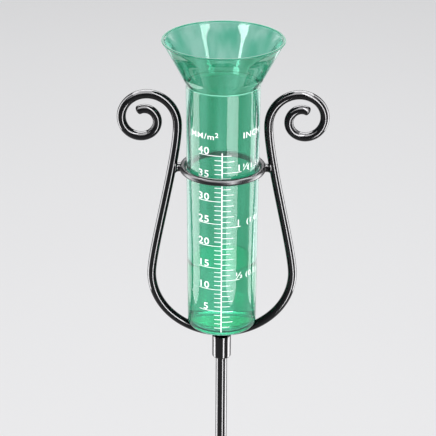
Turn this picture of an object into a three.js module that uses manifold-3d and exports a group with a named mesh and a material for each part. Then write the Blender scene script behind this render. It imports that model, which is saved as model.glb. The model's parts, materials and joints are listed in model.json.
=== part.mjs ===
// Manual rain gauge on a garden stake: a clear moulded gauge tube with an octagonal funnel mouth
// stands in a lyre-shaped rod holder, which turns on a two-section pole.
// Millimetres, +Z up. The origin is on the stake's axis at the soil line. The lyre lies in the
// plane y = 0, and the printed side of the gauge faces -Y.

import * as THREE from 'three';
import { mergeVertices } from 'three/addons/utils/BufferGeometryUtils.js';
import Module from 'manifold-3d';

const GAP = 0.3;                       // clearance left between pieces that touch

// Heights of the holder's features, measured from the gauge's rim, which is the top of the object
const RIM_Z = 640;                     // rim height above the soil
const below = (depth) => RIM_Z - depth;

// Gauge tube with its funnel mouth, one moulding
const RIM_R = 40;
const RIM_WALL = 1.8;
const LIP_DEPTH = 1.2;                 // the mouth is round down to here, then turns octagonal
const LIP_ROUND = 0.5;
const FUNNEL_DEPTH = 29.7;
const NECK_R = 24.4;
const NECK_WALL = 2.6;
const GAUGE_LENGTH = 203.3;
const BASE_R = 23.4;
const BASE_ROUND = 2.5;
const FLOOR = 3;
const FLOOR_ROUND = 1.5;
const CREASE_DROP = 1.2;               // how much lower the neck's crease lies on the inside
const FACETS = 8;
const GAUGE_SEGMENTS = 48;
// Half-angle in degrees of each funnel flat, by depth below the rim
const FLAT_ANGLES = [[LIP_DEPTH, 0], [2.6, 16], [15, 20], [26, 21], [FUNNEL_DEPTH, 0]];
const FUNNEL_LEVELS = [26, 20, 15, 9, 4.5, 2.6, LIP_DEPTH];

// Lyre: one rod bent into a U, two shafts and two scrolls
const ROD_R = 3;
const ROD_SIDES = 10;
const ROD_STEPS = 150;
const SHAFT_POINTS = 14;
const U_STEP = 7.5;                    // degrees between the centreline's points round the U
const SCROLL_STEP = 10;
const U_HALF_WIDTH = 47.9;
const U_DEPTH = 44.8;
const U_CENTRE = below(167);
const SCROLL = { x: 52.2, z: below(55.3), r0: 1.45, r1: 20.65, shrink: 0.6126, turn: 473 };
const SHAFT_HANDLE_LOW = 18.4;         // lengths of the shaft curve's two end handles
const SHAFT_HANDLE_HIGH = 17.8;

// Ring that steadies the tube, and the two struts that carry it
const RING_Z = below(88.6);
const RING_R = 26.55;
const RING_WIRE_R = 2.2;
const RING_WIRE_SIDES = 10;
const RING_SEGMENTS = 60;
const STRUT_R = 3;
const STRUT_SIDES = 20;
const CUTTER_SIDES = 24;               // of the rod-shaped cuts in the struts and the socket

// Sockets and poles
const SLEEVE_R = 6.5;
const SLEEVE_CHAMFER = 1;
const BORE_R = 4.3;
const POLE_R = 4;
const SOCKET_TOP = below(213.6);
const SOCKET_BOTTOM = below(230.6);
const SOCKET_ROOF = 4;                 // solid metal between the rod's top face and the bore
const COUPLER_BOTTOM = 100;
const COUPLER_TOP = 136;
const COUPLER_WEB = 3;                 // solid web between the coupler's two bores
const SADDLE_REACH = 18;               // half-length of the rod-shaped cut over the socket
const LOWER_POLE_TIP = -180;
const POINT_LENGTH = 26;
const POINT_R = 0.8;
const POINT_ROUND = 0.4;
const POLE_SIDES = 24;
const SLEEVE_SIDES = 32;

const DEG = Math.PI / 180;

const glass = new THREE.MeshStandardMaterial({
  color: 0x6fd0a4, roughness: 0.08, metalness: 0, transparent: true, opacity: 0.45,
});
const enamel = new THREE.MeshStandardMaterial({ color: 0x0c0c0e, roughness: 0.22, metalness: 0.1 });

const wasm = await Module();
wasm.setup();

function toSolid(geometry) {
  const bare = geometry.clone();
  bare.deleteAttribute('normal');
  bare.deleteAttribute('uv');
  const merged = mergeVertices(bare, 1e-4);
  return new wasm.Manifold(new wasm.Mesh({
    numProp: 3,
    vertProperties: new Float32Array(merged.attributes.position.array),
    triVerts: new Uint32Array(merged.index.array),
  }));
}

function toGeometry(solid) {
  const { numProp, vertProperties, triVerts } = solid.getMesh();
  const position = new Float32Array(vertProperties.length / numProp * 3);
  for (let i = 0; i < position.length / 3; i += 1) {
    position.set(vertProperties.subarray(i * numProp, i * numProp + 3), i * 3);
  }
  const geometry = new THREE.BufferGeometry();
  geometry.setAttribute('position', new THREE.BufferAttribute(position, 3));
  geometry.setIndex(new THREE.BufferAttribute(new Uint32Array(triVerts), 1));
  geometry.computeVertexNormals();
  return geometry;
}

function piece(name, geometry, material) {
  const mesh = new THREE.Mesh(geometry, material);
  mesh.name = name;
  return mesh;
}

// A lathe about +Z from [radius, height] points that start and end on the axis
function turned(profile, segments) {
  const geometry = new THREE.LatheGeometry(profile.map(([r, z]) => new THREE.Vector2(r, z)), segments);
  return geometry.rotateX(Math.PI / 2);
}

// Points of an arc in the profile plane, angles in degrees
function arc(r, z, radius, from, to, steps) {
  const points = [];
  for (let i = 0; i <= steps; i += 1) {
    const angle = (from + (to - from) * i / steps) * DEG;
    points.push([r + radius * Math.cos(angle), z + radius * Math.sin(angle)]);
  }
  return points;
}

// ---- gauge tube ----

function flatHalfAngle(depth) {
  if (depth <= FLAT_ANGLES[0][0] || depth >= FUNNEL_DEPTH) return 0;
  const i = FLAT_ANGLES.findIndex(([end]) => depth < end);
  const [d0, a0] = FLAT_ANGLES[i - 1];
  const [d1, a1] = FLAT_ANGLES[i];
  return (a0 + (a1 - a0) * (depth - d0) / (d1 - d0)) * DEG;
}

// Presses eight flats, with rounded corners between them, into the round funnel
function pressFlats(geometry) {
  const position = geometry.attributes.position;
  const pitch = 2 * Math.PI / FACETS;
  for (let i = 0; i < position.count; i += 1) {
    const half = flatHalfAngle(RIM_Z - position.getZ(i));
    const azimuth = Math.atan2(position.getY(i), position.getX(i));
    const offset = azimuth - Math.round(azimuth / pitch) * pitch;
    if (Math.abs(offset) < half) {
      const scale = Math.cos(half) / Math.cos(offset);
      position.setX(i, position.getX(i) * scale);
      position.setY(i, position.getY(i) * scale);
    }
  }
  return geometry;
}

function gaugeTube() {
  const bottom = below(GAUGE_LENGTH);
  const outer = (depth) => RIM_R + (NECK_R - RIM_R) * depth / FUNNEL_DEPTH;
  const neckInner = NECK_R - NECK_WALL;
  const creaseDepth = FUNNEL_DEPTH + CREASE_DROP;
  const mouth = RIM_R - RIM_WALL;
  const inner = (depth) => mouth + (neckInner - mouth) * depth / creaseDepth;
  const floorRim = BASE_R - NECK_WALL - FLOOR_ROUND;
  const profile = [
    [0, bottom],
    ...arc(BASE_R - BASE_ROUND, bottom + BASE_ROUND, BASE_ROUND, -90, 0, 3),
    [NECK_R, below(FUNNEL_DEPTH)],
    ...FUNNEL_LEVELS.map((depth) => [outer(depth), below(depth)]),
    ...arc(RIM_R - LIP_ROUND, RIM_Z - LIP_ROUND, LIP_ROUND, 0, 90, 2),
    ...arc(mouth + LIP_ROUND, RIM_Z - LIP_ROUND, LIP_ROUND, 90, 180, 2),
    ...FUNNEL_LEVELS.toReversed().map((depth) => [inner(depth), below(depth)]),
    [neckInner, below(creaseDepth)],
    ...arc(floorRim, bottom + FLOOR + FLOOR_ROUND, FLOOR_ROUND, 0, -90, 2),
    [0, bottom + FLOOR],
  ];
  return piece('gauge_tube', pressFlats(turned(profile, GAUGE_SEGMENTS)), glass);
}

// ---- lyre rod ----

function scrollPoint(angle) {
  const r = SCROLL.r0 + SCROLL.r1 * SCROLL.shrink ** (angle / 180);
  const x = SCROLL.x - r * Math.cos(angle * DEG);
  return new THREE.Vector3(x, 0, SCROLL.z + r * Math.sin(angle * DEG));
}

function shaftCurve() {
  const low = new THREE.Vector3(U_HALF_WIDTH, 0, U_CENTRE);
  const high = scrollPoint(0);
  const entry = scrollPoint(1).sub(high).normalize();
  return new THREE.CubicBezierCurve3(
    low,
    low.clone().add(new THREE.Vector3(0, 0, SHAFT_HANDLE_LOW)),
    high.clone().addScaledVector(entry, -SHAFT_HANDLE_HIGH),
    high,
  );
}

// The right half of the rod's centreline, from the bottom of the U to the tip of the scroll
function lyreHalf() {
  const points = [];
  for (let angle = 0; angle < 90; angle += U_STEP) {
    const x = U_HALF_WIDTH * Math.sin(angle * DEG);
    points.push(new THREE.Vector3(x, 0, U_CENTRE - U_DEPTH * Math.cos(angle * DEG)));
  }
  points.push(...shaftCurve().getPoints(SHAFT_POINTS));
  for (let angle = SCROLL_STEP; angle < SCROLL.turn; angle += SCROLL_STEP) {
    points.push(scrollPoint(angle));
  }
  points.push(scrollPoint(SCROLL.turn));
  return points;
}

function alongCurve(points, radius, sides, steps) {
  const section = new THREE.Shape().absarc(0, 0, radius, 0, 2 * Math.PI);
  const path = new THREE.CatmullRomCurve3(points);
  const curveSegments = sides / 2;     // a full arc is divided into twice this many sides
  return new THREE.ExtrudeGeometry(section, { steps, curveSegments, extrudePath: path });
}

function lyreRod() {
  const right = lyreHalf();
  const left = right.slice(1).reverse().map((point) => new THREE.Vector3(-point.x, 0, point.z));
  return piece('lyre_rod', alongCurve([...left, ...right], ROD_R, ROD_SIDES, ROD_STEPS), enamel);
}

// ---- ring and struts ----

function supportRing() {
  const wire = arc(RING_R, RING_Z, RING_WIRE_R, 0, 360, RING_WIRE_SIDES);
  return piece('support_ring', turned(wire, RING_SEGMENTS), enamel);
}

// A bar from the ring out to the shaft, hollowed to the rod's shape where they meet
function strut(name, side) {
  const inner = RING_R + RING_WIRE_R + GAP;
  const shaft = shaftCurve();
  const offRing = (point) => Math.abs(point.z - RING_Z);
  const meet = shaft.getPoints(60).reduce((a, b) => (offRing(b) < offRing(a) ? b : a));
  const length = meet.x - inner;
  const bar = new THREE.CylinderGeometry(STRUT_R, STRUT_R, length, STRUT_SIDES).rotateZ(Math.PI / 2);
  bar.translate(inner + length / 2, 0, RING_Z);
  const clearance = alongCurve(shaft.getPoints(30), ROD_R + GAP, CUTTER_SIDES, 40);
  const body = toGeometry(toSolid(bar).subtract(toSolid(clearance)));
  return piece(name, side > 0 ? body : body.rotateZ(Math.PI), enamel);
}

// ---- sockets and poles ----

// The part of the U's centreline that crosses the socket
function crossing(x) {
  const drop = U_DEPTH * Math.sqrt(1 - (x / U_HALF_WIDTH) ** 2);
  return new THREE.Vector3(x, 0, U_CENTRE - drop);
}

function socketSleeve() {
  const roof = SOCKET_TOP - SOCKET_ROOF;
  const sleeve = turned([
    [0, roof],
    [BORE_R, roof],
    [BORE_R, SOCKET_BOTTOM],
    [SLEEVE_R - SLEEVE_CHAMFER, SOCKET_BOTTOM],
    [SLEEVE_R, SOCKET_BOTTOM + SLEEVE_CHAMFER],
    [SLEEVE_R, SOCKET_TOP - SLEEVE_CHAMFER / 2],
    [SLEEVE_R - SLEEVE_CHAMFER / 2, SOCKET_TOP],
    [0, SOCKET_TOP],
  ], SLEEVE_SIDES);
  const bend = [-1, -2 / 3, -1 / 3, 0, 1 / 3, 2 / 3, 1].map((share) => crossing(share * SADDLE_REACH));
  const saddle = alongCurve(bend, ROD_R + GAP, CUTTER_SIDES, 24);
  return piece('socket_sleeve', toGeometry(toSolid(sleeve).subtract(toSolid(saddle))), enamel);
}

function upperPole() {
  const top = SOCKET_TOP - SOCKET_ROOF - GAP;
  const foot = (COUPLER_BOTTOM + COUPLER_TOP + COUPLER_WEB) / 2 + GAP;
  return piece('upper_pole', turned([
    [0, foot],
    [POLE_R, foot],
    [POLE_R, top],
    [0, top],
  ], POLE_SIDES), enamel);
}

function poleCoupler() {
  const middle = (COUPLER_BOTTOM + COUPLER_TOP) / 2;
  return piece('pole_coupler', turned([
    [0, middle - COUPLER_WEB / 2],
    [BORE_R, middle - COUPLER_WEB / 2],
    [BORE_R, COUPLER_BOTTOM],
    [SLEEVE_R - SLEEVE_CHAMFER, COUPLER_BOTTOM],
    [SLEEVE_R, COUPLER_BOTTOM + SLEEVE_CHAMFER],
    [SLEEVE_R, COUPLER_TOP - SLEEVE_CHAMFER],
    [SLEEVE_R - SLEEVE_CHAMFER, COUPLER_TOP],
    [BORE_R, COUPLER_TOP],
    [BORE_R, middle + COUPLER_WEB / 2],
    [0, middle + COUPLER_WEB / 2],
  ], SLEEVE_SIDES), enamel);
}

function lowerPole() {
  const top = (COUPLER_BOTTOM + COUPLER_TOP - COUPLER_WEB) / 2 - GAP;
  return piece('lower_pole', turned([
    [0, LOWER_POLE_TIP],
    [POINT_R, LOWER_POLE_TIP + POINT_ROUND],
    [POLE_R, LOWER_POLE_TIP + POINT_LENGTH],
    [POLE_R, top],
    [0, top],
  ], POLE_SIDES), enamel);
}

const rainGauge = new THREE.Group();
rainGauge.add(
  gaugeTube(),
  lyreRod(),
  supportRing(),
  strut('left_strut', -1),
  strut('right_strut', 1),
  socketSleeve(),
  upperPole(),
  poleCoupler(),
  lowerPole(),
);

export default rainGauge;
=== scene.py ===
"""Manual rain gauge: the finished looks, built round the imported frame. Metres, +Z up."""
import json
import math

import bmesh
import bpy
from mathutils import Matrix, Vector

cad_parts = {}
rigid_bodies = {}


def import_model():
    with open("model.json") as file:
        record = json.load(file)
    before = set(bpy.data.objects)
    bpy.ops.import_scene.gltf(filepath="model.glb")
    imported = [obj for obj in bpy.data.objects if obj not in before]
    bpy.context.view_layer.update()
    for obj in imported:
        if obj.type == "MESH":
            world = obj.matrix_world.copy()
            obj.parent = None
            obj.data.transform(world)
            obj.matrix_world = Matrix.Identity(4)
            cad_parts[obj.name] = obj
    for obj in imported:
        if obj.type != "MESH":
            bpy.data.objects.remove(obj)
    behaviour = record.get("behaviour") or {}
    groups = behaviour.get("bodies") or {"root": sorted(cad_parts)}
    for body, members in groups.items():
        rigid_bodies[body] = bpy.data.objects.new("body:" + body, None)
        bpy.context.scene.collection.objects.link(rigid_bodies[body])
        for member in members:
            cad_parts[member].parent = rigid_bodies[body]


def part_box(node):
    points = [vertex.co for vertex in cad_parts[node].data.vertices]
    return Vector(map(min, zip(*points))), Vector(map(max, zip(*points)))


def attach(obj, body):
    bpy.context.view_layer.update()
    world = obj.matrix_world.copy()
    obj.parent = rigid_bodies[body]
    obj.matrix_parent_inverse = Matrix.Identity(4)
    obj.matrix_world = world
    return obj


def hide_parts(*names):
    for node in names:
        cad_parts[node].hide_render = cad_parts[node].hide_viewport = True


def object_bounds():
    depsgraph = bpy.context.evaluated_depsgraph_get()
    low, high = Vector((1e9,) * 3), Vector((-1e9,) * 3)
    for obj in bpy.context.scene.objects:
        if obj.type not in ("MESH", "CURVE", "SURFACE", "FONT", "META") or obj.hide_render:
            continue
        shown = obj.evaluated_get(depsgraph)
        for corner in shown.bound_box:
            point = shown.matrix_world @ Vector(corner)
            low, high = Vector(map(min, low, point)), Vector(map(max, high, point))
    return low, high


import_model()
CAD_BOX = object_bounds()

MM = 0.001
TUBE_LOW, TUBE_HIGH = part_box("gauge_tube")
ROD_LOW, ROD_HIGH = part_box("lyre_rod")
RING_LOW, RING_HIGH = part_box("support_ring")
SLEEVE_LOW, SLEEVE_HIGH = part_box("socket_sleeve")
COUPLER_LOW, COUPLER_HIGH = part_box("pole_coupler")
UPPER_LOW, UPPER_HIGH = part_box("upper_pole")
LOWER_LOW, LOWER_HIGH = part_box("lower_pole")

RIM_Z = TUBE_HIGH[2]
BASE_Z = TUBE_LOW[2]
RIM_R = TUBE_HIGH[0]

# Gauge tube
RIM_WALL = 1.8 * MM
LIP_ROUND = 0.55 * MM
LIP_DEPTH = 1.2 * MM                # the mouth is round down to here
FUNNEL_DEPTH = 29.7 * MM
NECK_R = 24.4 * MM
NECK_WALL = 2.6 * MM
NECK_FILLET = 1.0 * MM
CREASE_DROP = 1.2 * MM              # how much lower the neck's crease lies on the inside
CREASE_BAND = 0.4 * MM              # half-height of the painted highlight line along each crease
BASE_R = 23.4 * MM
BASE_ROUND = 2.4 * MM
BASE_HOLLOW = 0.7 * MM
FLOOR = 3.0 * MM
FLOOR_ROUND = 2.2 * MM
FACETS = 8
FLAT_COLUMNS = 16                   # mesh columns across a flat
CORNER_COLUMNS = 8                  # mesh columns between two flats
FLAT_HALF_ANGLE = 20                # degrees, where a flat is widest
COLUMN_HALF_ANGLES = (15, 21)       # degrees, the range in which the mesh columns follow a flat's edges
FLATS_OPEN = 12 * MM                # height over which the flats open under the lip
FLATS_CLOSE = 6 * MM                # height over which they close at the neck

# Lyre rod
ROD_R = (ROD_HIGH[1] - ROD_LOW[1]) / 2
U_HALF_WIDTH = 47.9 * MM
U_DEPTH = 44.8 * MM
U_CENTRE = RIM_Z - 167 * MM
SCROLL_X = 52.2 * MM
SCROLL_Z = RIM_Z - 55.3 * MM
SCROLL_R0 = 1.45 * MM
SCROLL_R1 = 20.65 * MM
SCROLL_SHRINK = 0.6126              # of the growing part of the radius, in each half turn
SCROLL_TURN = 473                   # degrees
SHAFT_HANDLE_LOW = 18.4 * MM        # lengths of the shaft curve's two end handles
SHAFT_HANDLE_HIGH = 17.8 * MM
U_STEPS = 60
SHAFT_STEPS = 50
SCROLL_STEPS = 150
ROD_SIDES = 32

# Ring and struts
RING_Z = (RING_LOW[2] + RING_HIGH[2]) / 2
RING_WIRE_R = 2.2 * MM
RING_R = RING_HIGH[0] - RING_WIRE_R
STRUT_R = 3.0 * MM
STRUT_SIDES = 36
STRUT_WOBBLE = 0.03                 # unevenness of the strut's surface, as a share of its radius
WOBBLE_TWIST = 900                  # radians that the unevenness turns in a metre
WELD_FLARE = 1.1 * MM
WELD_LENGTH = 1.6 * MM

# Sleeves and poles
SLEEVE_R = SLEEVE_HIGH[0]
SLEEVE_CHAMFER = 1.0 * MM
SLEEVE_SIDES = 72
BORE_R = 4.3 * MM
BORE_LEAD_IN = 0.3 * MM
SOCKET_ROOF = 4 * MM
WELD_CROWN = 0.7 * MM               # height of the weld over the socket's top, inside the rod
COUPLER_WEB = 3.0 * MM
POLE_R = UPPER_HIGH[0]
POLE_EDGE = 0.5 * MM
POLE_SIDES = 64
POINT_LENGTH = 26 * MM
POINT_R = 0.8 * MM
POINT_INSET = 0.15 * MM             # how much thinner than the pole the point starts

# Printed scale: rain depth is stretched by mouth area over bore area
PRINT_LIFT = 0.03 * MM
PRINT_THICK = 0.05 * MM
LINE_THICK = 0.4 * MM
ZERO_Z = RIM_Z - 200.0 * MM
HEADING_Z = RIM_Z - 60 * MM
MM_RISE = 3.225 * MM
MM_MARKS = 40
INCH_RISE = 78.1 * MM
INCH_PARTS = 20
INCH_MARKS = 32                     # twentieths of an inch
CAP_HEIGHT = 0.72                   # a capital's height over its lettering's size
LETTER_SPACING = 1.12
NUMERAL_HEIGHT = 4.9 * MM
NUMERAL_RAISE = 0.7 * MM            # above its graduation
FRACTION_HEIGHT = 4.5 * MM
DECIMAL_HEIGHT = 3.6 * MM
INCH_LABEL_RAISE = 0.8 * MM

# Azimuths on the tube in degrees from the front, + to the right
AXIS = -1.0
AXIS_HALF_WIDTH = 0.85
MM_LONG_START = -39.6
MM_SHORT_START = -12.6
TWO_DIGITS_START = -41
ONE_DIGIT_START = -32
TOP_LINE_END = 14
INCH_SHORT_END = 13
INCH_LONG_END = 18
INCH_LABELLED_END = 30
FRACTION_START = 21.5
DECIMAL_START = 41
MM_HEADING_START = -56
SQUARE_START = -12.5                # the raised 2 of the millimetre scale's unit
INCH_HEADING_START = 32

# Water
WATER_DEPTH = 14.1                  # millimetres of rain
WATER_OVERLAP = 0.12 * MM           # into the tube's wall, so that no film of air shows
MENISCUS = 0.4 * MM

# Camera: a long lens above the rim, which looks down. Angles are in radians
CAMERA_PLACE = (0, -0.9869, RIM_Z + 0.3231)
CAMERA_PITCH = math.radians(24.448)
CAMERA_YAW = -0.0030
CAMERA_ROLL = -0.0057
CAMERA_LENS = 133.4

# Panels that only the clear pieces mirror: name, azimuth from the front in degrees, width, radiance
CLEAR_PANELS = [("left_near_panel", -98, 0.86, 4.6), ("left_far_panel", -137, 0.72, 1.2),
                ("right_near_panel", 112, 0.69, 4.2), ("right_far_panel", 144, 0.6, 1.2),
                ("front_panel", 30, 0.76, 6.0)]
CLEAR_PANEL_REACH = 1.2
CLEAR_PANEL_RISE = 1.02
CLEAR_PANEL_GAP = 0.01              # above the floor

# Strips that only the enamel mirrors, with the same four values
METAL_STRIPS = [("metal_left", -96, 0.42, 24), ("metal_front", 26, 0.22, 50), ("metal_right", 98, 0.5, 24)]
METAL_STRIP_REACH = 0.8
METAL_CEILING = 2.5

SOFTBOX_REACH = 2.3
SOFTBOX_RISE = 1.35                 # above the rim
GLOW_REACH = 2.0
GLOW_RISE = 1.6                     # above the rim
FLOOR_HALF_SIZE = 40
LIGHT_BOUNCES = 28                  # enough for light to cross the tube's walls and the water


# ---------- mesh helpers ----------

def new_object(name, bm, body, material, replaces=()):
    """Finishes a bmesh as a smooth-shaded piece that rides on a CAD body."""
    bmesh.ops.recalc_face_normals(bm, faces=bm.faces)
    mesh = bpy.data.meshes.new(name)
    bm.to_mesh(mesh)
    bm.free()
    for polygon in mesh.polygons:
        polygon.use_smooth = True
    piece = bpy.data.objects.new(name, mesh)
    bpy.context.scene.collection.objects.link(piece)
    mesh.materials.append(material)
    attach(piece, body)
    if replaces:
        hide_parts(*replaces)
    return piece


def add_loft(bm, rings, start=None, end=None, loop=False):
    """Joins rings of equal count with quads, closed by a pole at each end or back on itself."""
    rows = [[bm.verts.new(point) for point in ring] for ring in rings]
    pairs = list(zip(rows, rows[1:]))
    if loop:
        pairs.append((rows[-1], rows[0]))
    for row, following in pairs:
        for i in range(len(row)):
            j = (i + 1) % len(row)
            bm.faces.new((row[i], row[j], following[j], following[i]))
    for pole, row in ((start, rows[0]), (end, rows[-1])):
        if pole is None:
            continue
        tip = bm.verts.new(pole)
        for i in range(len(row)):
            bm.faces.new((row[i], row[(i + 1) % len(row)], tip))


def arc(r, z, radius, start, stop, steps):
    """Profile points (r, z) along an arc, with angles in degrees."""
    points = []
    for i in range(steps + 1):
        angle = math.radians(start + (stop - start) * i / steps)
        points.append((r + radius * math.cos(angle), z + radius * math.sin(angle)))
    return points


def lathe_rings(profile, segments):
    rings = []
    for r, z in profile:
        ring = []
        for i in range(segments):
            angle = 2 * math.pi * i / segments
            ring.append(Vector((r * math.cos(angle), r * math.sin(angle), z)))
        rings.append(ring)
    return rings


def turned(profile, segments):
    """A closed lathe about the stake's axis; profile starts and ends on the axis."""
    bm = bmesh.new()
    start = Vector((0, 0, profile[0][1]))
    end = Vector((0, 0, profile[-1][1]))
    add_loft(bm, lathe_rings(profile[1:-1], segments), start, end)
    return bm


def spread(a, b, steps):
    """Points strictly between two profile points, to keep long quads short."""
    points = []
    for i in range(1, steps):
        points.append((a[0] + (b[0] - a[0]) * i / steps, a[1] + (b[1] - a[1]) * i / steps))
    return points


# ---------- materials ----------

def new_material(name):
    material = bpy.data.materials.new(name)
    material.use_nodes = True
    nodes = material.node_tree.nodes
    return material, nodes, material.node_tree.links, nodes["Principled BSDF"]


def add_noise(nodes, links, scale, detail=2.0, stretch=(1, 1, 1)):
    """Object-space noise; returns its Fac output."""
    coordinates = nodes.new("ShaderNodeTexCoord")
    mapping = nodes.new("ShaderNodeMapping")
    mapping.inputs["Scale"].default_value = stretch
    noise = nodes.new("ShaderNodeTexNoise")
    noise.inputs["Scale"].default_value = scale
    noise.inputs["Detail"].default_value = detail
    links.new(coordinates.outputs["Object"], mapping.inputs["Vector"])
    links.new(mapping.outputs["Vector"], noise.inputs["Vector"])
    return noise.outputs["Fac"]


def remap(nodes, links, value, low, high, out_low, out_high):
    ranged = nodes.new("ShaderNodeMapRange")
    limits = {"From Min": low, "From Max": high, "To Min": out_low, "To Max": out_high}
    for name, number in limits.items():
        ranged.inputs[name].default_value = number
    links.new(value, ranged.inputs["Value"])
    return ranged.outputs["Result"]


def add_bump(nodes, links, height, strength, distance):
    bump = nodes.new("ShaderNodeBump")
    bump.inputs["Strength"].default_value = strength
    bump.inputs["Distance"].default_value = distance
    links.new(height, bump.inputs["Height"])
    return bump.outputs["Normal"]


def mix_colours(nodes, links, factor, first, second):
    mix = nodes.new("ShaderNodeMix")
    mix.data_type = "RGBA"
    mix.inputs["A"].default_value = (*first, 1)
    mix.inputs["B"].default_value = (*second, 1)
    links.new(factor, mix.inputs["Factor"])
    return mix.outputs["Result"]


def black_enamel(name, smoothest, roughest):
    """Enamel with dust, patches of uneven gloss and a fine orange peel."""
    material, nodes, links, shader = new_material(name)
    dust = remap(nodes, links, add_noise(nodes, links, 260, 6), 0.55, 0.85, 0, 1)
    links.new(mix_colours(nodes, links, dust, (0.0022, 0.0022, 0.0032), (0.010, 0.0095, 0.011)),
              shader.inputs["Base Color"])
    patches = add_noise(nodes, links, 55, 3)
    links.new(remap(nodes, links, patches, 0.3, 0.7, smoothest, roughest), shader.inputs["Roughness"])
    peel = add_bump(nodes, links, add_noise(nodes, links, 420, 1.5), 0.12, 0.0002)
    links.new(peel, shader.inputs["Normal"])
    shader.inputs["Specular IOR Level"].default_value = 0.22
    return material


def green_clear():
    """Tinted clear plastic, with upright streaks and ripples from moulding."""
    material, nodes, links, shader = new_material("green_clear_plastic")
    streaks = remap(nodes, links, add_noise(nodes, links, 85, 2, (1, 1, 0.04)), 0.36, 0.62, 0, 1)
    links.new(mix_colours(nodes, links, streaks, (0.13, 0.60, 0.41), (0.37, 0.79, 0.64)),
              shader.inputs["Base Color"])
    links.new(remap(nodes, links, add_noise(nodes, links, 90, 4), 0.3, 0.7, 0.0, 0.035),
              shader.inputs["Roughness"])
    ripple = add_bump(nodes, links, add_noise(nodes, links, 30, 1.0, (1, 1, 0.2)), 0.06, 0.0006)
    links.new(ripple, shader.inputs["Normal"])
    shader.inputs["Transmission Weight"].default_value = 0.97
    shader.inputs["IOR"].default_value = 1.49
    return material


def green_edge():
    """Painted glow: a deep green, partly opaque, on the rim's faces, standing in for the light that tinted
    clear plastic sends out of its cut edge.
    """
    material, nodes, links, shader = new_material("rim_painted_glow")
    tone = add_noise(nodes, links, 140, 3)
    links.new(mix_colours(nodes, links, tone, (0.006, 0.24, 0.13), (0.02, 0.36, 0.21)),
              shader.inputs["Base Color"])
    links.new(remap(nodes, links, add_noise(nodes, links, 300, 3), 0.3, 0.7, 0.05, 0.16),
              shader.inputs["Roughness"])
    shader.inputs["Transmission Weight"].default_value = 0.35
    shader.inputs["IOR"].default_value = 1.49
    return material


def bright_edge():
    """Painted highlight: a lighter, mostly opaque green along the creases of the moulding's neck, standing
    in for the light that they catch.
    """
    material, nodes, links, shader = new_material("crease_painted_highlight")
    tone = add_noise(nodes, links, 200, 3)
    links.new(mix_colours(nodes, links, tone, (0.16, 0.60, 0.40), (0.28, 0.70, 0.52)),
              shader.inputs["Base Color"])
    links.new(remap(nodes, links, add_noise(nodes, links, 260, 2), 0.3, 0.7, 0.08, 0.2),
              shader.inputs["Roughness"])
    shader.inputs["Transmission Weight"].default_value = 0.15
    shader.inputs["IOR"].default_value = 1.49
    return material


def still_water(name, darker_tint, lighter_tint, clearness):
    """Still water between two tints, with an IOR under the true 1.33 for its look behind the wall."""
    material, nodes, links, shader = new_material(name)
    silt = add_noise(nodes, links, 120, 5)
    links.new(mix_colours(nodes, links, silt, darker_tint, lighter_tint), shader.inputs["Base Color"])
    swell = add_bump(nodes, links, add_noise(nodes, links, 60, 1), 0.05, 0.0005)
    links.new(swell, shader.inputs["Normal"])
    shader.inputs["Roughness"].default_value = 0.0
    shader.inputs["Transmission Weight"].default_value = clearness
    shader.inputs["IOR"].default_value = 1.2
    return material


def white_ink():
    material, nodes, links, shader = new_material("white_print")
    grain = remap(nodes, links, add_noise(nodes, links, 1600, 3), 0.25, 0.75, 0, 1)
    links.new(mix_colours(nodes, links, grain, (0.86, 0.89, 0.87), (0.97, 0.98, 0.97)),
              shader.inputs["Base Color"])
    tooth = add_bump(nodes, links, add_noise(nodes, links, 2400, 2), 0.2, 0.00005)
    links.new(tooth, shader.inputs["Normal"])
    shader.inputs["Roughness"].default_value = 0.55
    return material


def pale_floor():
    material, nodes, links, shader = new_material("floor_paper")
    tone = add_noise(nodes, links, 0.8, 3)
    links.new(mix_colours(nodes, links, tone, (0.80, 0.80, 0.795), (0.83, 0.83, 0.825)),
              shader.inputs["Base Color"])
    shader.inputs["Roughness"].default_value = 0.85
    return material


ENAMEL = black_enamel("black_enamel", 0.06, 0.12)
SATIN = black_enamel("black_enamel_satin", 0.24, 0.34)
GREEN = green_clear()
EDGE = green_edge()
LINE = bright_edge()
WATER = still_water("rain_water", (0.40, 0.88, 0.74), (0.50, 0.92, 0.80), 0.96)
# The water's top is painted a half-opaque deep emerald: painted light, standing in for the bright look of
# its surface.
WATER_TOP = still_water("rain_water_top_painted_light", (0.0, 0.42, 0.25), (0.01, 0.50, 0.31), 0.5)
INK = white_ink()


# ---------- gauge tube ----------

def flat_half_angle(depth):
    """Half-angle in radians of each funnel flat, which opens under the lip and closes at the neck."""
    opened = min(max((depth - LIP_DEPTH) / FLATS_OPEN, 0), 1)
    left = min(max((FUNNEL_DEPTH - depth) / FLATS_CLOSE, 0), 1)
    share = (1 - (1 - opened) ** 3) * left * left * (3 - 2 * left)
    return math.radians(FLAT_HALF_ANGLE) * share


def column_angles(depth):
    """Azimuths of the mesh columns, which follow the edges of the flats down the funnel."""
    pitch = 2 * math.pi / FACETS
    least, most = COLUMN_HALF_ANGLES
    edge = min(max(flat_half_angle(depth), math.radians(least)), math.radians(most))
    angles = []
    for facet in range(FACETS):
        centre = facet * pitch
        for i in range(FLAT_COLUMNS):
            angles.append(centre - edge + 2 * edge * i / FLAT_COLUMNS)
        for i in range(CORNER_COLUMNS):
            angles.append(centre + edge + (pitch - 2 * edge) * i / CORNER_COLUMNS)
    return angles


def faceted_ring(r, z):
    """One ring of the funnel or tube: round, with the funnel's flats pressed in."""
    depth = RIM_Z - z
    half = flat_half_angle(depth)
    pitch = 2 * math.pi / FACETS
    ring = []
    for angle in column_angles(depth):
        offset = angle - round(angle / pitch) * pitch
        reach = r * math.cos(half) / math.cos(offset) if abs(offset) < half else r
        ring.append(Vector((reach * math.cos(angle), reach * math.sin(angle), z)))
    return ring


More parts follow.
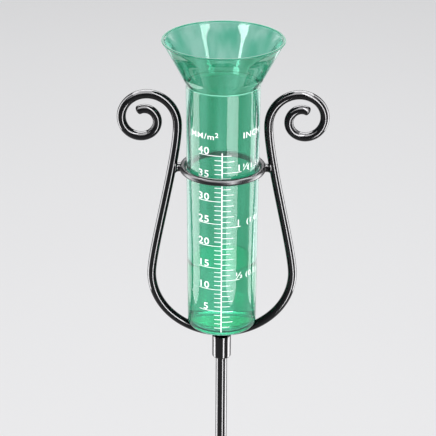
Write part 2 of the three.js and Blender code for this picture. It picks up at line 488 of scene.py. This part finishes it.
def tube_outer_radius(z):
    """Outer radius of the plain tube at a height below the neck."""
    neck_z = RIM_Z - FUNNEL_DEPTH
    return NECK_R + (BASE_R - NECK_R) * (neck_z - z) / (neck_z - BASE_Z)


def tube_inner_radius(z):
    return tube_outer_radius(z) - NECK_WALL


def fillet(before, corner, after, reach, steps=6):
    """Profile points that round a corner, starting and ending at a reach from it."""
    middle = Vector(corner)
    start = middle + (Vector(before) - middle).normalized() * reach
    end = middle + (Vector(after) - middle).normalized() * reach
    points = []
    for i in range(steps + 1):
        t = i / steps
        points.append(tuple(start * (1 - t) ** 2 + middle * (2 * t * (1 - t)) + end * t ** 2))
    return points


def gauge_profile():
    """Outline from the underside's centre, up the outside, over the rim and down the inside."""
    neck = (NECK_R, RIM_Z - FUNNEL_DEPTH)
    outer_low = (BASE_R, BASE_Z + BASE_ROUND)
    mouth = RIM_R - RIM_WALL
    crease = (NECK_R - NECK_WALL, RIM_Z - FUNNEL_DEPTH - CREASE_DROP)
    inner_low_z = BASE_Z + FLOOR + FLOOR_ROUND
    inner_low = (tube_inner_radius(inner_low_z), inner_low_z)
    outer_neck = fillet(outer_low, neck, (RIM_R, RIM_Z), NECK_FILLET)
    inner_neck = fillet((mouth, RIM_Z), crease, inner_low, NECK_FILLET)
    points = [(0, BASE_Z + BASE_HOLLOW), (BASE_R * 0.4, BASE_Z + BASE_HOLLOW)]
    points += [(BASE_R * 0.76, BASE_Z + 0.6 * MM), (BASE_R * 0.82, BASE_Z + 0.05 * MM)]
    points += arc(BASE_R - BASE_ROUND, BASE_Z + BASE_ROUND, BASE_ROUND, -90, 0, 8)
    points += spread(outer_low, outer_neck[0], 60) + outer_neck
    points += spread(outer_neck[-1], (RIM_R, RIM_Z), 40)
    points += arc(RIM_R - LIP_ROUND, RIM_Z - LIP_ROUND, LIP_ROUND, 0, 90, 5)
    points += arc(mouth + LIP_ROUND, RIM_Z - LIP_ROUND, LIP_ROUND, 90, 180, 5)
    points += spread((mouth, RIM_Z), inner_neck[0], 40) + inner_neck
    points += spread(inner_neck[-1], inner_low, 60)
    points += arc(inner_low[0] - FLOOR_ROUND, inner_low_z, FLOOR_ROUND, 0, -90, 6)
    points += [(inner_low[0] * 0.5, BASE_Z + FLOOR), (0, BASE_Z + FLOOR)]
    return points


def build_gauge():
    profile = gauge_profile()
    bm = bmesh.new()
    rings = [faceted_ring(r, z) for r, z in profile[1:-1]]
    add_loft(bm, rings, Vector((0, 0, profile[0][1])), Vector((0, 0, profile[-1][1])))
    tube = new_object("gauge_tube_clear", bm, "gauge", GREEN, ["gauge_tube"])
    tube.data.materials.append(EDGE)
    tube.data.materials.append(LINE)
    neck_z = RIM_Z - FUNNEL_DEPTH
    for polygon in tube.data.polygons:
        height = polygon.center.z
        outside = polygon.center.xy.length > NECK_R - NECK_WALL / 2
        crease_z = neck_z if outside else neck_z - CREASE_DROP
        # the rim's faces take the painted glow
        if height > RIM_Z - LIP_ROUND:
            polygon.material_index = 1
        # a band along each crease takes the painted highlight
        if abs(height - crease_z) < CREASE_BAND:
            polygon.material_index = 2


def build_water():
    """The collected rain, with a meniscus against the wall."""
    surface = ZERO_Z + WATER_DEPTH * MM_RISE
    low = BASE_Z + FLOOR - WATER_OVERLAP
    foot = tube_inner_radius(low + FLOOR_ROUND) + WATER_OVERLAP
    wall = tube_inner_radius(surface) + WATER_OVERLAP
    profile = [(0, low), (foot * 0.5, low)]
    profile += arc(foot - FLOOR_ROUND, low + FLOOR_ROUND, FLOOR_ROUND, -90, 0, 6)
    profile += spread((foot, low + FLOOR_ROUND), (wall, surface + MENISCUS), 12)
    profile += [(wall, surface + MENISCUS), (wall - 0.3 * MM, surface + 0.5 * MENISCUS)]
    profile += [(wall - 0.8 * MM, surface + 0.15 * MENISCUS), (wall - 1.8 * MM, surface)]
    profile += [(wall * 0.5, surface), (0, surface)]
    water = new_object("rain_water", turned(profile, 128), "gauge", WATER)
    water.data.materials.append(WATER_TOP)
    # the top faces take the painted light
    for polygon in water.data.polygons:
        if polygon.center.z > surface - 0.01 * MM:
            polygon.material_index = 1


# ---------- lyre rod ----------

def scroll_point(degrees):
    """A point of the right scroll's centreline, which tightens as it turns inwards."""
    r = SCROLL_R0 + SCROLL_R1 * SCROLL_SHRINK ** (degrees / 180)
    angle = math.radians(degrees)
    return Vector((SCROLL_X - r * math.cos(angle), 0, SCROLL_Z + r * math.sin(angle)))


def shaft_point(t):
    """A point of the right shaft's centreline, from the U at 0 to the scroll at 1."""
    low = Vector((U_HALF_WIDTH, 0, U_CENTRE))
    high = scroll_point(0)
    entry = (scroll_point(1) - high).normalized()
    p1 = low + Vector((0, 0, SHAFT_HANDLE_LOW))
    p2 = high - entry * SHAFT_HANDLE_HIGH
    s = 1 - t
    return low * s ** 3 + p1 * 3 * s * s * t + p2 * 3 * s * t * t + high * t ** 3


def lyre_centreline():
    """The whole rod, from the left scroll's tip round the U to the right scroll's tip."""
    half = []
    for i in range(U_STEPS):
        angle = math.radians(90 * i / U_STEPS)
        half.append(Vector((U_HALF_WIDTH * math.sin(angle), 0, U_CENTRE - U_DEPTH * math.cos(angle))))
    half += [shaft_point(i / SHAFT_STEPS) for i in range(SHAFT_STEPS)]
    half += [scroll_point(SCROLL_TURN * i / SCROLL_STEPS) for i in range(SCROLL_STEPS + 1)]
    mirrored = [Vector((-p.x, 0, p.z)) for p in reversed(half[1:])]
    return mirrored + half


def sweep_rings(points, radii, sides):
    """Round sections along a centreline that lies in the XZ plane, with a radius for each point."""
    rings = []
    for i, point in enumerate(points):
        ahead = points[min(i + 1, len(points) - 1)]
        behind = points[max(i - 1, 0)]
        tangent = (ahead - behind).normalized()
        normal = Vector((-tangent.z, 0, tangent.x))
        ring = []
        for k in range(sides):
            angle = 2 * math.pi * k / sides
            along_y = Vector((0, radii[i] * math.sin(angle), 0))
            ring.append(point + normal * (radii[i] * math.cos(angle)) + along_y)
        rings.append(ring)
    return rings


def rounded_ends(points, radius, steps=6, bluntness=0.55):
    """Adds the cut, slightly rounded ends of a rod: shrinking sections beyond each end."""
    start_dir = (points[0] - points[1]).normalized()
    end_dir = (points[-1] - points[-2]).normalized()
    path = list(points)
    radii = [radius] * len(points)
    for i in range(1, steps):
        angle = math.radians(90 * i / steps)
        reach = radius * bluntness * math.sin(angle)
        path.append(points[-1] + end_dir * reach)
        path.insert(0, points[0] + start_dir * reach)
        radii.append(radius * math.cos(angle))
        radii.insert(0, radius * math.cos(angle))
    tips = (points[0] + start_dir * radius * bluntness, points[-1] + end_dir * radius * bluntness)
    return path, radii, tips


def build_lyre():
    path, radii, tips = rounded_ends(lyre_centreline(), ROD_R)
    bm = bmesh.new()
    add_loft(bm, sweep_rings(path, radii, ROD_SIDES), tips[0], tips[1])
    new_object("lyre_rod_bar", bm, "holder", ENAMEL, ["lyre_rod"])


# ---------- ring and struts ----------

def build_ring():
    bm = bmesh.new()
    wire = arc(RING_R, RING_Z, RING_WIRE_R, 0, 360, 24)[:-1]
    add_loft(bm, lathe_rings(wire, 160), loop=True)
    new_object("support_ring_wire", bm, "holder", SATIN, ["support_ring"])


def rod_x_at(z):
    """The shaft centreline's x at a height, found by halving."""
    low, high = 0.0, 1.0
    for _ in range(40):
        middle = (low + high) / 2
        if shaft_point(middle).z < z:
            low = middle
        else:
            high = middle
    return shaft_point(low).x


def build_strut(name, node, side):
    """A short bar that runs from inside the ring's wire into the rod, with a weld flare at the rod."""
    start = RING_R
    end = rod_x_at(RING_Z)
    face_in = RING_R + RING_WIRE_R * 0.55
    face_out = end - ROD_R * 0.8
    profile = [(start, STRUT_R * 0.5), (face_in - 0.2 * MM, STRUT_R * 0.9), (face_in, STRUT_R)]
    steps = 8
    for i in range(1, steps + 1):
        x = face_in + (face_out - face_in) * i / steps
        from_out = max(0.0, 1 - (face_out - x) / WELD_LENGTH)
        profile.append((x, STRUT_R + WELD_FLARE * from_out ** 2))
    profile.append((end, STRUT_R * 0.6))
    rings = []
    for x, r in profile:
        ring = []
        for k in range(STRUT_SIDES):
            angle = 2 * math.pi * k / STRUT_SIDES
            reach = r * (1 + STRUT_WOBBLE * math.sin(3 * angle + WOBBLE_TWIST * x + side))
            ring.append(Vector((side * x, reach * math.cos(angle), RING_Z + reach * math.sin(angle))))
        rings.append(ring)
    bm = bmesh.new()
    add_loft(bm, rings, Vector((side * start, 0, RING_Z)), Vector((side * end, 0, RING_Z)))
    new_object(name, bm, "holder", ENAMEL, [node])


# ---------- socket, coupler and poles ----------

def sleeve_side(low, high, start, stop, steps):
    """Profile points up a sleeve's outside; its rounded edges run from start and to stop, in degrees."""
    foot = low + SLEEVE_CHAMFER
    head = high - SLEEVE_CHAMFER
    points = arc(SLEEVE_R - SLEEVE_CHAMFER, foot, SLEEVE_CHAMFER, start, 0, 5)
    points += spread((SLEEVE_R, foot), (SLEEVE_R, head), steps)
    points += arc(SLEEVE_R - SLEEVE_CHAMFER, head, SLEEVE_CHAMFER, 0, stop, 5)
    return points


def build_socket():
    low, high = SLEEVE_LOW[2], SLEEVE_HIGH[2]
    roof = high - SOCKET_ROOF
    profile = [(0, roof), (BORE_R, roof), (BORE_R, low + BORE_LEAD_IN)]
    profile += [(BORE_R + BORE_LEAD_IN, low), (SLEEVE_R - 1.5 * SLEEVE_CHAMFER, low)]
    profile += sleeve_side(low, high, -70, 80, 8)
    profile += [(SLEEVE_R * 0.7, high + 0.1 * MM), (SLEEVE_R * 0.35, high + 0.6 * MM)]
    profile.append((0, high + WELD_CROWN))
    new_object("socket_sleeve_turned", turned(profile, SLEEVE_SIDES), "holder",
               ENAMEL, ["socket_sleeve"])


def build_coupler():
    low, high = COUPLER_LOW[2], COUPLER_HIGH[2]
    web_low = (low + high) / 2 - COUPLER_WEB / 2
    web_high = (low + high) / 2 + COUPLER_WEB / 2
    profile = [(0, web_low), (BORE_R, web_low), (BORE_R, low + BORE_LEAD_IN), (BORE_R + BORE_LEAD_IN, low)]
    profile += sleeve_side(low, high, -80, 80, 10)
    profile += [(BORE_R + BORE_LEAD_IN, high), (BORE_R, high - BORE_LEAD_IN)]
    profile += [(BORE_R, web_high), (0, web_high)]
    new_object("pole_coupler_turned", turned(profile, SLEEVE_SIDES), "stake",
               ENAMEL, ["pole_coupler"])


def pole_top(high):
    """Profile points of a pole's upper end, from its side to its axis."""
    return [(POLE_R, high - POLE_EDGE), (POLE_R - POLE_EDGE, high), (0, high)]


def build_upper_pole():
    low, high = UPPER_LOW[2], UPPER_HIGH[2]
    profile = [(0, low), (POLE_R - POLE_EDGE, low), (POLE_R, low + POLE_EDGE)]
    profile += spread((POLE_R, low + POLE_EDGE), (POLE_R, high - POLE_EDGE), 40)
    profile += pole_top(high)
    new_object("upper_pole_rod", turned(profile, POLE_SIDES), "pole",
               ENAMEL, ["upper_pole"])


def build_lower_pole():
    low, high = LOWER_LOW[2], LOWER_HIGH[2]
    shoulder = low + POINT_LENGTH
    taper_end = (POLE_R - POINT_INSET, shoulder - 1.2 * MM)
    profile = [(0, low)] + arc(0, low + POINT_R, POINT_R, -75, -10, 4)
    profile += spread(profile[-1], taper_end, 12)
    profile += [taper_end, (POLE_R, shoulder + 0.6 * MM)]
    profile += spread((POLE_R, shoulder), (POLE_R, high - POLE_EDGE), 40)
    profile += pole_top(high)
    new_object("lower_pole_rod", turned(profile, POLE_SIDES), "stake",
               ENAMEL, ["lower_pole"])


# ---------- printed scale ----------

def on_tube(azimuth, z, lift):
    """A point over the tube's outside; azimuth is in radians from the front, + to the right."""
    r = tube_outer_radius(z) + lift
    return Vector((r * math.sin(azimuth), -r * math.cos(azimuth), z))


def add_patch(bm, start, stop, z_low, z_high, columns=None):
    """A thin raised block of ink between two azimuths in degrees."""
    columns = columns or max(1, round(abs(stop - start) / 3))
    rings = []
    for i in range(columns + 1):
        azimuth = math.radians(start + (stop - start) * i / columns)
        rings.append([
            on_tube(azimuth, z_low, PRINT_LIFT),
            on_tube(azimuth, z_high, PRINT_LIFT),
            on_tube(azimuth, z_high, PRINT_LIFT + PRINT_THICK),
            on_tube(azimuth, z_low, PRINT_LIFT + PRINT_THICK),
        ])
    rows = [[bm.verts.new(point) for point in ring] for ring in rings]
    for row, following in zip(rows, rows[1:]):
        for i in range(4):
            j = (i + 1) % 4
            bm.faces.new((row[i], row[j], following[j], following[i]))
    bm.faces.new(rows[0])
    bm.faces.new(rows[-1])


def add_line(bm, start, stop, z):
    add_patch(bm, start, stop, z - LINE_THICK / 2, z + LINE_THICK / 2)


def add_text(bm, words, azimuth, z, height, stretch=1.15, weight=0.014):
    """Lettering wrapped round the tube from an azimuth in degrees; weight thickens its strokes."""
    curve = bpy.data.curves.new("lettering", "FONT")
    curve.body = words
    curve.size = height / CAP_HEIGHT
    curve.offset = weight * height
    curve.space_character = LETTER_SPACING
    curve.resolution_u = 4
    curve.extrude = PRINT_THICK / 2
    holder = bpy.data.objects.new("lettering", curve)
    bpy.context.scene.collection.objects.link(holder)
    bpy.context.view_layer.update()
    evaluated = holder.evaluated_get(bpy.context.evaluated_depsgraph_get())
    mesh = bpy.data.meshes.new_from_object(evaluated)
    letters = bmesh.new()
    letters.from_mesh(mesh)
    bmesh.ops.remove_doubles(letters, verts=letters.verts, dist=1e-7)
    left = min(vertex.co.x for vertex in letters.verts)
    width = max(vertex.co.x for vertex in letters.verts) - left
    for i in range(1, int(width / MM)):
        geometry = letters.verts[:] + letters.edges[:] + letters.faces[:]
        cut = (left + i * MM, 0, 0)
        bmesh.ops.bisect_plane(letters, geom=geometry, plane_co=cut, plane_no=(1, 0, 0))
    radius = tube_outer_radius(z)
    for vertex in letters.verts:
        lift = PRINT_LIFT + PRINT_THICK / 2 + vertex.co.z
        turn = math.radians(azimuth) + vertex.co.x * stretch / radius
        vertex.co = on_tube(turn, z + vertex.co.y, lift)
    wrapped = bpy.data.meshes.new("wrapped")
    letters.to_mesh(wrapped)
    letters.free()
    bm.from_mesh(wrapped)
    bpy.data.objects.remove(holder)
    bpy.data.curves.remove(curve)
    bpy.data.meshes.remove(mesh)
    bpy.data.meshes.remove(wrapped)


def build_millimetre_scale(bm):
    top = ZERO_Z + MM_MARKS * MM_RISE
    add_patch(bm, AXIS - AXIS_HALF_WIDTH, AXIS + AXIS_HALF_WIDTH, ZERO_Z, top + 2.0 * MM, 2)
    for depth in range(1, MM_MARKS + 1):
        z = ZERO_Z + depth * MM_RISE
        labelled = depth % 5 == 0
        add_line(bm, MM_LONG_START if labelled else MM_SHORT_START, AXIS, z)
        if labelled:
            start = TWO_DIGITS_START if depth >= 10 else ONE_DIGIT_START
            add_text(bm, str(depth), start, z + NUMERAL_RAISE, NUMERAL_HEIGHT)
    add_line(bm, AXIS, TOP_LINE_END, top)
    add_text(bm, "MM/m", MM_HEADING_START, HEADING_Z, 3.9 * MM, 1.2, 0.008)
    add_text(bm, "2", SQUARE_START, HEADING_Z + 1.7 * MM, 3.2 * MM, 1.1, 0.01)


def build_inch_scale(bm):
    for step in range(1, INCH_MARKS + 1):
        z = ZERO_Z + step * INCH_RISE / INCH_PARTS
        add_line(bm, AXIS, INCH_LONG_END if step % 2 == 0 else INCH_SHORT_END, z)
    labels = {0.5: ("½", "(0.5)"), 1.0: ("1", "(1.0)"), 1.5: ("1½", "(1.5)")}
    for inches, (fraction, decimal) in labels.items():
        z = ZERO_Z + inches * INCH_RISE
        add_line(bm, AXIS, INCH_LABELLED_END, z)
        add_text(bm, fraction, FRACTION_START, z + INCH_LABEL_RAISE, FRACTION_HEIGHT, 1.2, 0.004)
        add_text(bm, decimal, DECIMAL_START, z + INCH_LABEL_RAISE, DECIMAL_HEIGHT, 1.2, 0.008)
    add_text(bm, "INCH", INCH_HEADING_START, HEADING_Z, 4.1 * MM, 1.15, 0.015)


def build_print():
    bm = bmesh.new()
    build_millimetre_scale(bm)
    build_inch_scale(bm)
    ink = new_object("printed_scale", bm, "gauge", INK)
    for polygon in ink.data.polygons:
        polygon.use_smooth = False


# ---------- stage ----------

def build_floor():
    bm = bmesh.new()
    bmesh.ops.create_grid(bm, x_segments=8, y_segments=8, size=FLOOR_HALF_SIZE)
    mesh = bpy.data.meshes.new("floor")
    for vertex in bm.verts:
        vertex.co.z = CAD_BOX[0][2]
    bm.to_mesh(mesh)
    bm.free()
    floor = bpy.data.objects.new("floor", mesh)
    mesh.materials.append(pale_floor())
    bpy.context.scene.collection.objects.link(floor)


def area_light(name, place, target, size, radiance, receivers=None, diffuse=True, seen_through=True):
    """A rectangular softbox of a given brightness; with receivers it lights only those pieces."""
    data = bpy.data.lights.new(name, "AREA")
    data.shape = "RECTANGLE"
    data.size, data.size_y = size
    data.energy = radiance * math.pi * size[0] * size[1]
    data.color = (0.99, 0.98, 1.0)
    light = bpy.data.objects.new(name, data)
    light.location = place
    aim = Vector(target) - Vector(place)
    light.rotation_euler = aim.to_track_quat("-Z", "Y").to_euler()
    light.visible_camera = False
    light.visible_diffuse = diffuse
    light.visible_transmission = seen_through
    bpy.context.scene.collection.objects.link(light)
    if receivers is not None:
        light.light_linking.receiver_collection = receivers
    return light


def around(azimuth, reach, z):
    """A place at an azimuth in degrees from the front, + to the right."""
    angle = math.radians(azimuth)
    return (reach * math.sin(angle), -reach * math.cos(angle), z)


def collect(name, materials):
    """The pieces whose first material is one of those given, as a light's receivers."""
    group = bpy.data.collections.new(name)
    for piece in bpy.data.objects:
        if piece.type == "MESH" and piece.data.materials and piece.data.materials[0] in materials:
            group.objects.link(piece)
    return group


def build_metal_lights(metal):
    """Tall strips and an overhead panel whose reflections draw the highlights on the enamel."""
    floor_z = CAD_BOX[0][2]
    middle = (0, 0, (floor_z + METAL_CEILING) / 2)
    rise = METAL_CEILING - floor_z
    for name, azimuth, width, radiance in METAL_STRIPS:
        place = around(azimuth, METAL_STRIP_REACH, middle[2])
        area_light(name, place, middle, (width, rise), radiance, metal, diffuse=False)
    area_light("metal_top", (0, 0.2, METAL_CEILING), (0, 0.2, 0), (3.2, 5.6), 22, metal, diffuse=False)


def build_clear_lights(clear, head):
    """Panels that the clear pieces mirror, and shadowless lights that reach in through their walls."""
    strip_z = CAD_BOX[0][2] + CLEAR_PANEL_GAP + CLEAR_PANEL_RISE / 2
    for name, azimuth, width, radiance in CLEAR_PANELS:
        place = around(azimuth, CLEAR_PANEL_REACH, strip_z)
        size = (width, CLEAR_PANEL_RISE)
        area_light(name, place, (0, 0, strip_z), size, radiance, clear, seen_through=False)
    area_light("back_panel", around(180, 2.4, RIM_Z + 0.75), head, (2.4, 2.0), 1.6, clear)
    for name, material, radiance in (("gauge_glow", GREEN, 3.0), ("water_glow", WATER, 24.0)):
        lit = collect(name, [material])
        place = around(0, GLOW_REACH, RIM_Z + GLOW_RISE)
        glow = area_light(name, place, head, (1.5, 1.5), radiance, lit, seen_through=False)
        glow.visible_glossy = False
        glow.data.use_shadow = False


def build_lights():
    head = (0, 0, RIM_Z - 0.05)
    softbox_z = RIM_Z + SOFTBOX_RISE
    clear = collect("clear", [GREEN, WATER, INK])
    area_light("top_softbox", (0.1, 1.9, 4.4), head, (2.4, 1.6), 7.5)
    area_light("left_softbox", around(-45, SOFTBOX_REACH, softbox_z), head, (0.9, 0.9), 10)
    area_light("right_softbox", around(42, SOFTBOX_REACH, softbox_z), head, (0.8, 0.9), 8)
    build_clear_lights(clear, head)
    build_metal_lights(collect("enamelled", [ENAMEL, SATIN]))
    world = bpy.data.worlds.new("studio")
    world.use_nodes = True
    background = world.node_tree.nodes["Background"]
    background.inputs["Color"].default_value = (0.93, 0.94, 0.96, 1)
    background.inputs["Strength"].default_value = 0.5
    bpy.context.scene.world = world


def build_camera():
    """Turns the camera by its yaw and pitch, and then rolls it about the way it looks."""
    across = math.cos(CAMERA_PITCH)
    down = -math.sin(CAMERA_PITCH)
    forward = Vector((math.sin(CAMERA_YAW) * across, math.cos(CAMERA_YAW) * across, down))
    level = Vector((math.cos(CAMERA_YAW), -math.sin(CAMERA_YAW), 0))
    upright = level.cross(forward)
    right = level * math.cos(CAMERA_ROLL) - upright * math.sin(CAMERA_ROLL)
    up = level * math.sin(CAMERA_ROLL) + upright * math.cos(CAMERA_ROLL)
    turn = Matrix((right, up, -forward)).transposed().to_4x4()
    data = bpy.data.cameras.new("camera")
    data.lens = CAMERA_LENS
    data.sensor_width = 36
    data.clip_end = 200
    camera = bpy.data.objects.new("camera", data)
    camera.matrix_world = Matrix.Translation(CAMERA_PLACE) @ turn
    bpy.context.scene.collection.objects.link(camera)
    bpy.context.scene.camera = camera


build_camera()
build_gauge()
build_water()
build_lyre()
build_ring()
build_strut("left_strut_bar", "left_strut", -1)
build_strut("right_strut_bar", "right_strut", 1)
build_socket()
build_coupler()
build_upper_pole()
build_lower_pole()
build_print()
build_floor()
build_lights()
bpy.context.scene.view_settings.view_transform = "Standard"
bpy.context.scene.cycles.max_bounces = LIGHT_BOUNCES
bpy.context.scene.cycles.transmission_bounces = LIGHT_BOUNCES
